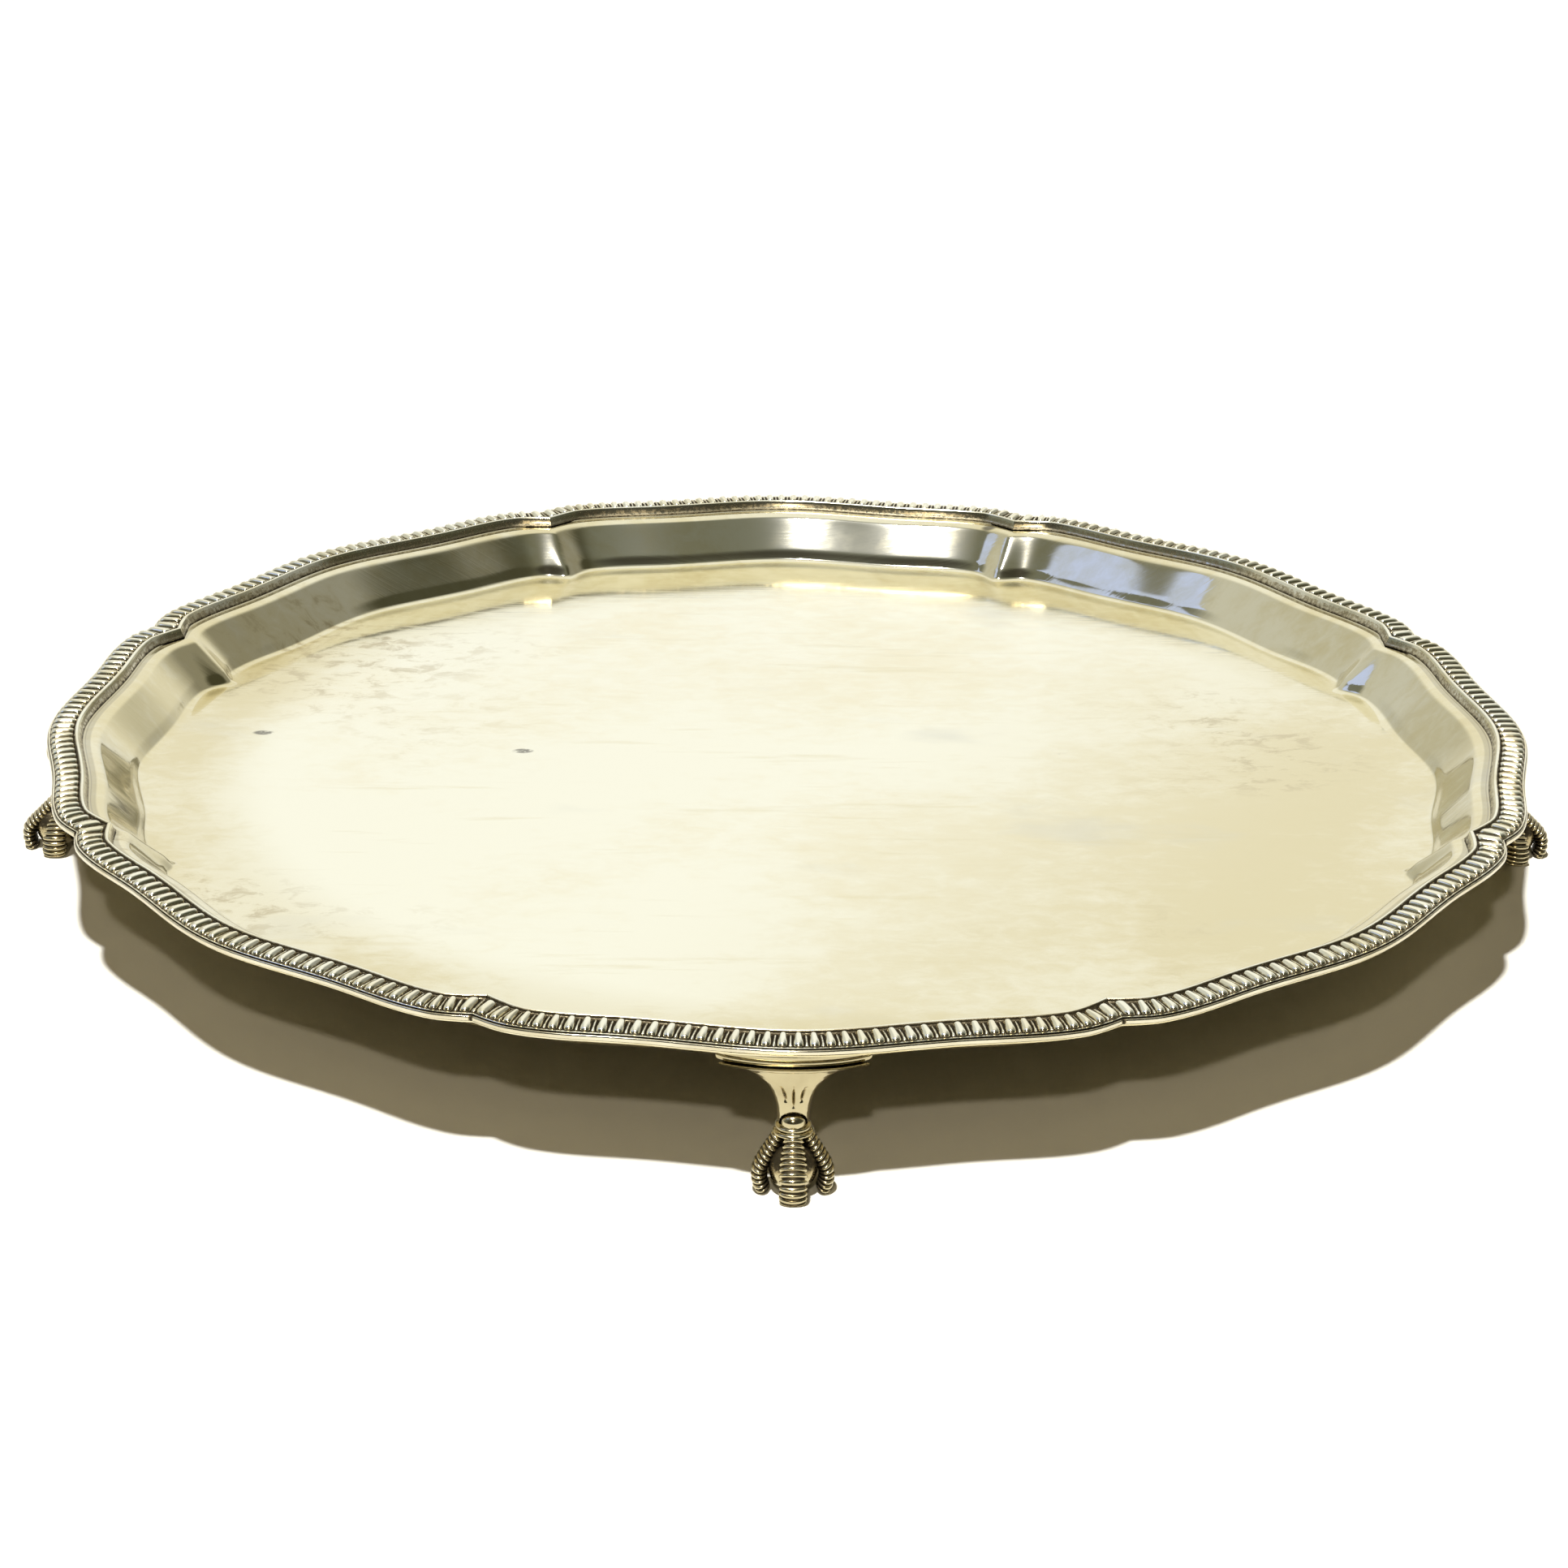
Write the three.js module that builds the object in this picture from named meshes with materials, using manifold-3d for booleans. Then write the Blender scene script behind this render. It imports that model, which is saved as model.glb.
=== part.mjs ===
// A footed silver salver: an eight-lobed raised tray with an applied gadrooned border, a plain edge
// wire below it and four claw-and-ball feet. Millimetres, +Z up, the table at Z = 0, the salver's
// axis on the Z axis, and one foot (front) towards -Y.
import * as THREE from 'three';
import { mergeVertices } from 'three/addons/utils/BufferGeometryUtils.js';
import Module from 'manifold-3d';

const wasm = await Module();
wasm.setup();

// ---------------------------------------------------------------- driving dimensions
const RIM_RADIUS = 205;        // mean radius of the outer outline
const RIM_Z = 35.2;            // underside of the edge wire above the table
const LOBES = 8;
const SEAM = 0.3;              // solder seam between neighbouring pieces
const SHEET = 1.3;             // gauge of the raised sheet
const BASE_INSET = 27;         // the flat base starts this far inside the outline
const BASE_DROP = 11.7;        // base top below the edge wire's underside

// One lobe of the outline, from its centre to the notch: radial offsets and their angles.
const HALF_LOBE = 180 / LOBES;
const BOW = 1.25;
const VALLEY = -1.4;
const VALLEY_ANGLE = 10.5;
const SHOULDER = 1.1;
const SHOULDER_ANGLE = 19.1;
const NOTCH = -1.5;

// The inner edge of the border casting runs to a mitred point at each notch.
const MITRE_POINT = 1.2;       // extra reach of the bead's point, inwards
const MITRE_ANGLE = 4.2;       // the point fades out over this angle
const MITRE_FROM = 4;          // insets between which the point builds up
const MITRE_TO = 8.7;

// Feet, measured from the table.
const FOOT_ANGLES = { front: 0, right: 90, back: 180, left: 270 };
const LEG_RADIUS = 202.5;      // the leg's axis from the salver's axis
const BALL_RADIUS = 5.9;
const BALL_OUT = 3.2;          // ball centre outside the leg's axis
const BALL_Z = BALL_RADIUS + SEAM;
const PAD_THICKNESS = 2.2;
const PAD_HALF_WIDTH = 18.5;
const PAD_TOP_DROP = 1.0;      // pad top below the edge wire's underside
const PAD_OUTER = 205.2;       // pad's outermost and innermost radius, and the radius of its points
const PAD_INNER = 195.5;
const PAD_POINT = 201.4;
const CLAW_HALF_WIDTH = 2.8;
const CLAW_HALF_DEPTH = 1.8;

// How finely the round shapes are faceted.
const SEGMENTS_PER_LOBE = 12;
const SEGMENTS = LOBES * SEGMENTS_PER_LOBE;
const PAD_CURVE_SEGMENTS = 10;
const COLUMN_SIDES = 16;
const CLAW_STEPS = 7;
const CLAW_CURVE_SEGMENTS = 4; // an ellipse takes twice as many sides
const BALL_SIDES = 14;
const BALL_BANDS = 9;
const MERGE_TOLERANCE = 1e-3;

// ---------------------------------------------------------------- finishes
const SHEET_SILVER = { color: 0xe9e3cf, metalness: 1, roughness: 0.22 };
const CAST_SILVER = { color: 0xd9d2bb, metalness: 1, roughness: 0.3 };
const WIRE_SILVER = { color: 0xe4dfcf, metalness: 1, roughness: 0.15 };
const FOOT_SILVER = { color: 0xcfc7ad, metalness: 1, roughness: 0.28 };

// ---------------------------------------------------------------- the lobed outline
const swing = (from, to, share) => from + (to - from) * (1 - Math.cos(Math.PI * share)) / 2;

// Radial offset of the outline, at an angle in degrees from the nearest lobe's centre.
function outlineOffset(angle) {
  if (angle < VALLEY_ANGLE) {
    return swing(BOW, VALLEY, angle / VALLEY_ANGLE);
  }
  if (angle < SHOULDER_ANGLE) {
    return swing(VALLEY, SHOULDER, (angle - VALLEY_ANGLE) / (SHOULDER_ANGLE - VALLEY_ANGLE));
  }
  const share = (angle - SHOULDER_ANGLE) / (HALF_LOBE - SHOULDER_ANGLE);
  return SHOULDER + (NOTCH - SHOULDER) * (1 - Math.cos(Math.PI / 2 * share));
}

// How far the mitred point reaches inwards, at a given inset from the outline.
function mitreReach(angle, inset) {
  const built = THREE.MathUtils.clamp((inset - MITRE_FROM) / (MITRE_TO - MITRE_FROM), 0, 1);
  const share = THREE.MathUtils.clamp((HALF_LOBE - angle) / MITRE_ANGLE, 0, 1);
  return MITRE_POINT * built * (1 - Math.sin(Math.PI / 2 * share));
}

// Radius of a section point at a given inset from the lobed outline.
function lobedRadius(angle, inset, mitred) {
  const reach = mitred ? mitreReach(angle, inset) : 0;
  return RIM_RADIUS - inset + outlineOffset(angle) - reach;
}

// Turns a section of [inset, height] points round the axis, along the lobed outline.
function lobedSolid(section, mitred) {
  const profile = section.map(([inset, z]) => new THREE.Vector2(RIM_RADIUS - inset, z));
  const geometry = new THREE.LatheGeometry(profile, SEGMENTS);
  const position = geometry.getAttribute('position');
  for (let i = 0; i <= SEGMENTS; i += 1) {
    const lobe = Math.round(i / SEGMENTS_PER_LOBE);
    // Steps crowd towards the notches, where the outline turns fastest.
    const step = (i - lobe * SEGMENTS_PER_LOBE) * 2 / SEGMENTS_PER_LOBE;
    const angle = HALF_LOBE * Math.sin(Math.PI / 2 * step);
    const turn = THREE.MathUtils.degToRad((lobe % LOBES) * 2 * HALF_LOBE + angle);
    section.forEach(([inset, z], j) => {
      const onAxis = inset >= RIM_RADIUS;
      const radius = onAxis ? 0 : lobedRadius(Math.abs(angle), inset, mitred);
      position.setXYZ(i * section.length + j, radius * Math.sin(turn), -radius * Math.cos(turn), z);
    });
  }
  return geometry;
}

// ---------------------------------------------------------------- solids and booleans
function toSolid(geometry) {
  const bare = geometry.clone();
  bare.deleteAttribute('normal');
  bare.deleteAttribute('uv');
  const merged = mergeVertices(bare, MERGE_TOLERANCE);
  const vertProperties = new Float32Array(merged.getAttribute('position').array);
  const triVerts = new Uint32Array(merged.index.array);
  return new wasm.Manifold(new wasm.Mesh({ numProp: 3, vertProperties, triVerts }));
}

function toGeometry(solid) {
  const mesh = solid.getMesh();
  const geometry = new THREE.BufferGeometry();
  geometry.setAttribute('position', new THREE.BufferAttribute(new Float32Array(mesh.vertProperties), 3));
  geometry.setIndex(new THREE.BufferAttribute(new Uint32Array(mesh.triVerts), 1));
  geometry.computeVertexNormals();
  return geometry;
}

function piece(name, geometry, finish) {
  const mesh = new THREE.Mesh(geometry, new THREE.MeshStandardMaterial(finish));
  mesh.name = name;
  return mesh;
}

// ---------------------------------------------------------------- the raised tray
// Moves an open section line sideways by a distance, with mitred corners.
function offsetLine(points, distance) {
  const normals = points.slice(1).map((p, i) => {
    const along = new THREE.Vector2(p[0] - points[i][0], p[1] - points[i][1]).normalize();
    return new THREE.Vector2(along.y, -along.x);
  });
  return points.map((p, i) => {
    const before = normals[Math.max(i - 1, 0)];
    const after = normals[Math.min(i, normals.length - 1)];
    const mitre = before.clone().add(after).normalize();
    const reach = distance / mitre.dot(after);
    return [p[0] + mitre.x * reach, p[1] + mitre.y * reach];
  });
}

function trayGeometry() {
  const FLANGE_EDGE = 1.3;
  const FLANGE_TOP = 0.6;     // above the edge wire's underside
  const LEDGE_START = 10.4;
  const LEDGE = [13.0, 0.4];
  const WALL_TOP = [14.2, -0.1];
  const WALL_FOOT = [24.3, -10.5];
  const COVE_CORNER = [25.5, -BASE_DROP];
  const COVE_STEPS = 3;
  const cove = new THREE.QuadraticBezierCurve(
    new THREE.Vector2(...WALL_FOOT),
    new THREE.Vector2(...COVE_CORNER),
    new THREE.Vector2(BASE_INSET, -BASE_DROP),
  );
  const top = [
    [FLANGE_EDGE, FLANGE_TOP],
    [LEDGE_START, FLANGE_TOP],
    LEDGE,
    WALL_TOP,
    ...cove.getPoints(COVE_STEPS).map((p) => [p.x, p.y]),
    [RIM_RADIUS, -BASE_DROP],
  ];
  const under = offsetLine(top, SHEET);
  const section = [...under.reverse(), ...top].map(([inset, z]) => [inset, RIM_Z + z]);
  return lobedSolid(section, false);
}

// ---------------------------------------------------------------- border and edge wire
// Inset and height of each section's corners: up the outside, inwards over the top, down and back.
const BORDER_SECTION = [
  [1.25, 1.9],
  [0.45, 1.9],
  [0.6, 2.2],
  [2.2, 2.9],
  [4.4, 3.35],
  [6.8, 3.35],
  [7.5, 3.0],
  [8.1, 3.25],
  [8.8, 2.8],
  [8.8, 0.95],
  [1.25, 0.95],
];
const WIRE_SECTION = [
  [0.95, 0],
  [0.25, 0],
  [0, 0.4],
  [0, 1.2],
  [0.25, 1.6],
  [0.95, 1.6],
];

function ringSolid(section, mitred) {
  const closed = [...section, section[0]].map(([inset, z]) => [inset, RIM_Z + z]);
  return toSolid(lobedSolid(closed, mitred));
}

// A wedge that cuts one lobe's length out of a ring, half a seam short of each notch's plane.
function lobeWedge(lobe) {
  const REACH = 300;
  const half = THREE.MathUtils.degToRad(HALF_LOBE);
  const tip = SEAM / 2 / Math.sin(half);
  const outline = new THREE.Shape([
    new THREE.Vector2(0, -tip),
    new THREE.Vector2(REACH * Math.sin(half), -tip - REACH * Math.cos(half)),
    new THREE.Vector2(-REACH * Math.sin(half), -tip - REACH * Math.cos(half)),
  ]);
  const wedge = new THREE.ExtrudeGeometry(outline, { depth: 2 * RIM_Z, bevelEnabled: false });
  wedge.rotateZ(lobe * 2 * half);
  return toSolid(wedge);
}

function ringLengths(label, section, mitred, finish) {
  const ring = ringSolid(section, mitred);
  const lengths = [];
  for (let lobe = 0; lobe < LOBES; lobe += 1) {
    const length = ring.intersect(lobeWedge(lobe));
    lengths.push(piece(`${label}_${lobe + 1}`, toGeometry(length), finish));
  }
  return lengths;
}

// ---------------------------------------------------------------- feet
// Each foot is built with its leg's axis on Z and its outward side towards -Y.
function padGeometry() {
  const tipY = -(PAD_POINT - LEG_RADIUS);
  const outerY = -(PAD_OUTER - LEG_RADIUS);
  const innerY = -(PAD_INNER - LEG_RADIUS);
  const outline = new THREE.Shape();
  outline.moveTo(-PAD_HALF_WIDTH, tipY);
  outline.quadraticCurveTo(0, 2 * outerY - tipY, PAD_HALF_WIDTH, tipY);
  outline.quadraticCurveTo(0, 2 * innerY - tipY, -PAD_HALF_WIDTH, tipY);
  const pad = new THREE.ExtrudeGeometry(outline, {
    depth: PAD_THICKNESS,
    bevelEnabled: false,
    curveSegments: PAD_CURVE_SEGMENTS,
  });
  pad.translate(0, 0, RIM_Z - PAD_TOP_DROP - PAD_THICKNESS);
  return pad;
}

// Height, half width and half depth of the leg, upwards: two rings, knuckle, neck and winged top.
const LEG_TOP = RIM_Z - PAD_TOP_DROP - PAD_THICKNESS - SEAM;
const LEG_STATIONS = [
  [13.2, 3.6, 3.6],
  [13.6, 5.0, 4.9],
  [14.8, 5.0, 4.9],
  [15.2, 4.3, 4.2],
  [16.3, 4.3, 4.2],
  [16.7, 3.7, 3.7],
  [19.3, 3.8, 3.8],
  [23.6, 4.6, 3.8],
  [27.0, 6.4, 4.0],
  [29.0, 8.6, 4.1],
  [30.4, 11.5, 4.1],
  [LEG_TOP, 17.8, 4.1],
];

function legColumn() {
  const profile = [
    new THREE.Vector2(0, LEG_STATIONS[0][0]),
    ...LEG_STATIONS.map(([z]) => new THREE.Vector2(1, z)),
    new THREE.Vector2(0, LEG_TOP),
  ];
  const column = new THREE.LatheGeometry(profile, COLUMN_SIDES);
  const position = column.getAttribute('position');
  const stations = [LEG_STATIONS[0], ...LEG_STATIONS, LEG_STATIONS[LEG_STATIONS.length - 1]];
  for (let i = 0; i < position.count; i += 1) {
    const [z, halfWidth, halfDepth] = stations[i % stations.length];
    position.setXYZ(i, position.getX(i) * halfWidth, -position.getZ(i) * halfDepth, z);
  }
  return toSolid(column);
}

// A claw's centreline: distance from the foot's axis, the axis's own shift outwards, and height.
const CLAW_STATIONS = [
  [2.7, 0.2, 14.4],
  [5.3, 1.5, 10.3],
  [7.9, 2.8, 6.0],
  [7.9, 3.2, 3.0],
  [6.8, 3.2, -0.6],
];

function claw(quarter) {
  const turn = quarter * Math.PI / 2;
  const path = new THREE.CatmullRomCurve3(CLAW_STATIONS.map(([out, shift, z]) => (
    new THREE.Vector3(out * Math.sin(turn), -out * Math.cos(turn) - shift, z)
  )));
  const section = new THREE.Shape();
  section.absellipse(0, 0, CLAW_HALF_WIDTH, CLAW_HALF_DEPTH, 0, 2 * Math.PI);
  const tube = new THREE.ExtrudeGeometry(section, {
    extrudePath: path,
    steps: CLAW_STEPS,
    curveSegments: CLAW_CURVE_SEGMENTS,
  });
  return toSolid(tube);
}

function ballGeometry(radius) {
  const ball = new THREE.SphereGeometry(radius, BALL_SIDES, BALL_BANDS);
  ball.rotateX(Math.PI / 2);
  ball.translate(0, -BALL_OUT, BALL_Z);
  return ball;
}

// The column and four claws joined, hollowed round the ball and cut flat at the table.
function legSolid() {
  const TABLE_BLOCK = 60;
  let leg = legColumn();
  for (let quarter = 0; quarter < 4; quarter += 1) {
    leg = leg.add(claw(quarter));
  }
  const table = new THREE.BoxGeometry(TABLE_BLOCK, TABLE_BLOCK, TABLE_BLOCK);
  table.translate(0, 0, -TABLE_BLOCK / 2);
  return leg.subtract(toSolid(ballGeometry(BALL_RADIUS + SEAM))).subtract(toSolid(table));
}

// ---------------------------------------------------------------- assembly
const salver = new THREE.Group();
salver.add(piece('tray', trayGeometry(), SHEET_SILVER));
salver.add(...ringLengths('border_length', BORDER_SECTION, true, CAST_SILVER));
salver.add(...ringLengths('edge_wire', WIRE_SECTION, false, WIRE_SILVER));

const legGeometry = toGeometry(legSolid());
for (const [place, degrees] of Object.entries(FOOT_ANGLES)) {
  const foot = new THREE.Group();
  foot.add(piece(`foot_pad_${place}`, padGeometry(), SHEET_SILVER));
  foot.add(piece(`foot_leg_${place}`, legGeometry, FOOT_SILVER));
  foot.add(piece(`foot_ball_${place}`, ballGeometry(BALL_RADIUS), FOOT_SILVER));
  const turn = THREE.MathUtils.degToRad(degrees);
  foot.rotation.z = turn;
  foot.position.set(LEG_RADIUS * Math.sin(turn), -LEG_RADIUS * Math.cos(turn), 0);
  salver.add(foot);
}

export default salver;
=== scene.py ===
"""A footed silver salver: the visual model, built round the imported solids.

Sizes are millimetres, in the frame of the solids, and become metres when a mesh is made. Heights in a
section are measured from the underside of the edge wire, and insets inwards from the lobed outline.
"""
import math

import bpy
import numpy as np
from mathutils import Matrix, Vector


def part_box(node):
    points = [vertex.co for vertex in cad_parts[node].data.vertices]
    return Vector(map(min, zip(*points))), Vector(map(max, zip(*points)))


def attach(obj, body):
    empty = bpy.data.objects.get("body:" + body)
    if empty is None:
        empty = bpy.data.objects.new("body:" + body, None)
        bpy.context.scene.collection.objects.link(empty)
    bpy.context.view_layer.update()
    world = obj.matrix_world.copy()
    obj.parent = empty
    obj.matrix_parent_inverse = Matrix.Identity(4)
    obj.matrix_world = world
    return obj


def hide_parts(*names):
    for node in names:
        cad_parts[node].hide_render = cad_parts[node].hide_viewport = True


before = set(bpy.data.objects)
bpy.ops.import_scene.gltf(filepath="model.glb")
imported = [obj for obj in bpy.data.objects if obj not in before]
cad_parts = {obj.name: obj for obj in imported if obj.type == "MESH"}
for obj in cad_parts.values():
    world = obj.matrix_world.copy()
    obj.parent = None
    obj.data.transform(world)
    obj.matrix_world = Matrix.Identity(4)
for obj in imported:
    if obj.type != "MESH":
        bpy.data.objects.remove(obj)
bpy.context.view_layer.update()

MM = 0.001
BODY = "root"
SEED = 29


def box_mm(node):
    """Lowest and highest corner of a solid, in millimetres."""
    low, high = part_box(node)
    return low / MM, high / MM


# ------------------------------------------------------------------ driving dimensions
LOBES = 8
HALF_LOBE = 180 / LOBES
BOW = 1.25                  # the outline's offsets from its mean radius, from a lobe's centre
VALLEY = -1.4
VALLEY_ANGLE = 10.5
SHOULDER = 1.1
SHOULDER_ANGLE = 19.1
NOTCH = -1.5

RIM_Z = box_mm("edge_wire_1")[0].z
RIM_RADIUS = -box_mm("edge_wire_1")[0].y - BOW
SHEET = 1.3
BASE_INSET = 27.0           # the flat base starts here
BASE_DROP = box_mm("tray")[0].z + SHEET - RIM_Z
LOBED_TO = 34.0             # between these insets, on the flat base, the lobes fade into circles
ROUND_FROM = 70.0

TRAY_STEPS = 112            # angular steps in each lobe
WALL_RIPPLE = 0.10          # hand-made unevenness of the wall
FLANGE_SHADE = 0.32         # painted shade on the flange at the foot of the border, and darker on the line round its step
STEP_SHADE = 0.6
CREASE = 2.0                # how far each notch's crease stands out at the foot of the wall
CREASE_WIDTH = 1.4
CREASE_FROM = 13.5          # insets where the crease starts, is full height, and has died out
CREASE_FULL = 24.3
CREASE_TO = 66.0
MITRE_POINT = 0.8           # extra reach of the bead's point at a notch
MITRE_ANGLE = 4.2           # it dies out over this angle, and builds up between these insets
MITRE_FROM = 4.0
MITRE_TO = 8.7

PLACES = {"front": 0, "right": 90, "back": 180, "left": 270}


def swing(start, end, share):
    """A half-cosine from start to end."""
    return start + (end - start) * (1 - np.cos(np.pi * share)) / 2


def outline_offset(angle):
    """Radial offset of the outline at angles in degrees from the nearest lobe's centre."""
    a = np.abs(angle)
    bow = swing(BOW, VALLEY, a / VALLEY_ANGLE)
    rise = swing(VALLEY, SHOULDER, (a - VALLEY_ANGLE) / (SHOULDER_ANGLE - VALLEY_ANGLE))
    share = (a - SHOULDER_ANGLE) / (HALF_LOBE - SHOULDER_ANGLE)
    fall = SHOULDER + (NOTCH - SHOULDER) * (1 - np.cos(np.pi / 2 * share))
    return np.select([a < VALLEY_ANGLE, a < SHOULDER_ANGLE], [bow, rise], fall)


def smooth(share):
    """A smooth step from 0 to 1."""
    t = np.clip(share, 0, 1)
    return t * t * (3 - 2 * t)


# ------------------------------------------------------------------ meshes from grids
def grid_faces(columns, rows, wrap_columns, wrap_rows):
    """Quads of a grid whose vertices run row by row along each column."""
    c = np.arange(columns if wrap_columns else columns - 1)
    r = np.arange(rows if wrap_rows else rows - 1)
    c, r = np.meshgrid(c, r, indexing="ij")
    c2, r2 = (c + 1) % columns, (r + 1) % rows
    quads = np.stack([c * rows + r, c2 * rows + r, c2 * rows + r2, c * rows + r2], -1)
    return quads.reshape(-1, 4).tolist()


def make_piece(name, points, faces, oxide_and_shade, material, sharp=40):
    """A mesh object from points in millimetres, with each point's share, 0 to 1, of darkening: oxide in
    hollows and painted shade.
    """
    mesh = bpy.data.meshes.new(name)
    mesh.from_pydata((np.asarray(points) * MM).tolist(), [], faces)
    mesh.attributes.new("oxide_and_shade", "FLOAT", "POINT").data.foreach_set(
        "value", np.asarray(oxide_and_shade, np.float32)
    )
    mesh.polygons.foreach_set("use_smooth", [True] * len(mesh.polygons))
    mesh.set_sharp_from_angle(angle=math.radians(sharp))
    mesh.materials.append(material)
    piece = bpy.data.objects.new(name, mesh)
    bpy.context.scene.collection.objects.link(piece)
    return piece


def settle(piece, node):
    """The piece rides on the body and stands for its solid."""
    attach(piece, BODY)
    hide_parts(node)


def turned(points, degrees):
    """Points turned about the vertical axis."""
    c, s = math.cos(math.radians(degrees)), math.sin(math.radians(degrees))
    x, y, z = points[..., 0], points[..., 1], points[..., 2]
    return np.stack([c * x - s * y, s * x + c * y, z], -1)


def ripple(angle, height, seed, swell):
    """Gentle hand-made unevenness, in millimetres: a few slow waves with seeded phases."""
    draw = np.random.default_rng(seed)
    total = np.zeros(np.broadcast(angle, height).shape)
    for turns in (7, 11, 17, 26, 41):
        phase, tilt = draw.uniform(0, 2 * np.pi), draw.uniform(-0.25, 0.25)
        total = total + draw.uniform(0.4, 1) * np.sin(np.radians(angle) * turns + tilt * height + phase)
    return swell * total / 2.2


# ------------------------------------------------------------------ materials
class Graph:
    """Short calls for building a tree of shader nodes."""

    def __init__(self, tree):
        self.tree = tree

    def node(self, kind):
        return self.tree.nodes.new(kind)

    def link(self, source, socket):
        if isinstance(source, bpy.types.NodeSocket):
            self.tree.links.new(source, socket)
        else:
            socket.default_value = source

    def ranged(self, value, low, high, out_low=0.0, out_high=1.0):
        node = self.node("ShaderNodeMapRange")
        node.interpolation_type = "SMOOTHSTEP"
        for socket, number in zip(node.inputs[:5], (value, low, high, out_low, out_high)):
            self.link(number, socket)
        return node.outputs["Result"]

    def maths(self, operation, a, b):
        node = self.node("ShaderNodeMath")
        node.operation = operation
        self.link(a, node.inputs[0])
        self.link(b, node.inputs[1])
        return node.outputs["Value"]

    def blend(self, share, a, b):
        node = self.node("ShaderNodeMix")
        node.data_type = "RGBA"
        self.link(share, node.inputs["Factor"])
        for colour, socket in ((a, node.inputs["A"]), (b, node.inputs["B"])):
            self.link((*colour, 1) if isinstance(colour, tuple) else colour, socket)
        return node.outputs["Result"]


class Nodes(Graph):
    """The nodes of one material, laid on by place in the frame."""

    def __init__(self, name):
        self.material = bpy.data.materials.new(name)
        self.material.use_nodes = True
        super().__init__(self.material.node_tree)
        self.shader = self.tree.nodes["Principled BSDF"]
        self.place = self.node("ShaderNodeTexCoord").outputs["Object"]

    def stretched(self, scale, turn=0.0, start=(0, 0, 0)):
        node = self.node("ShaderNodeMapping")
        node.inputs["Scale"].default_value = scale
        node.inputs["Rotation"].default_value = (0, 0, math.radians(turn))
        node.inputs["Location"].default_value = start
        self.link(self.place, node.inputs["Vector"])
        return node.outputs["Vector"]

    def noise(self, vector, scale, detail=3.0, roughness=0.55, distortion=0.0):
        node = self.node("ShaderNodeTexNoise")
        self.link(vector, node.inputs["Vector"])
        node.inputs["Scale"].default_value = scale
        node.inputs["Detail"].default_value = detail
        node.inputs["Roughness"].default_value = roughness
        node.inputs["Distortion"].default_value = distortion
        return node.outputs["Fac"]

    def spots(self, vector, scale):
        node = self.node("ShaderNodeTexVoronoi")
        self.link(vector, node.inputs["Vector"])
        node.inputs["Scale"].default_value = scale
        return node.outputs["Distance"]

    def attribute(self, name):
        node = self.node("ShaderNodeAttribute")
        node.attribute_name = name
        return node.outputs["Fac"]

    def along(self, direction):
        """How far a point lies along a direction."""
        node = self.node("ShaderNodeVectorMath")
        node.operation = "DOT_PRODUCT"
        node.inputs[1].default_value = direction
        self.link(self.place, node.inputs[0])
        return node.outputs["Value"]

    def distance_from_axis(self):
        flat = self.node("ShaderNodeVectorMath")
        flat.operation = "MULTIPLY"
        flat.inputs[1].default_value = (1, 1, 0)
        self.link(self.place, flat.inputs[0])
        length = self.node("ShaderNodeVectorMath")
        length.operation = "LENGTH"
        self.link(flat.outputs["Vector"], length.inputs[0])
        return length.outputs["Value"]

    def facing_down(self):
        parts = self.node("ShaderNodeSeparateXYZ")
        self.link(self.node("ShaderNodeTexCoord").outputs["Normal"], parts.inputs[0])
        return self.ranged(parts.outputs["Z"], -0.5, -0.2, 1.0, 0.0)

    def bump(self, height, strength, distance, normal=None):
        node = self.node("ShaderNodeBump")
        node.inputs["Strength"].default_value = strength
        node.inputs["Distance"].default_value = distance
        self.link(height, node.inputs["Height"])
        if normal is not None:
            self.link(normal, node.inputs["Normal"])
        return node.outputs["Normal"]


SILVER = (0.945, 0.925, 0.765)
CREAM = (0.89, 0.83, 0.61)
YELLOW = (0.72, 0.635, 0.37)
BROWN = (0.40, 0.32, 0.17)
GREY = (0.66, 0.65, 0.56)
OXIDE_AND_SHADE = (0.045, 0.036, 0.022)
# painted shade for faces turned downwards
UNDERSIDE_SHADE = (0.42, 0.36, 0.22)


def scratches(n, count, density, along=9.0, across=950.0):
    """Fine straight scratches at several angles: stretched noise, kept only where it peaks."""
    total = 0.0
    for i in range(count):
        lines = n.noise(n.stretched((along, across, 40), turn=37 * i - 20, start=(i, i, 0)), 1.0, 2.0)
        total = n.maths("ADD", total, n.ranged(lines, density, density + 0.06))
    return total


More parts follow.
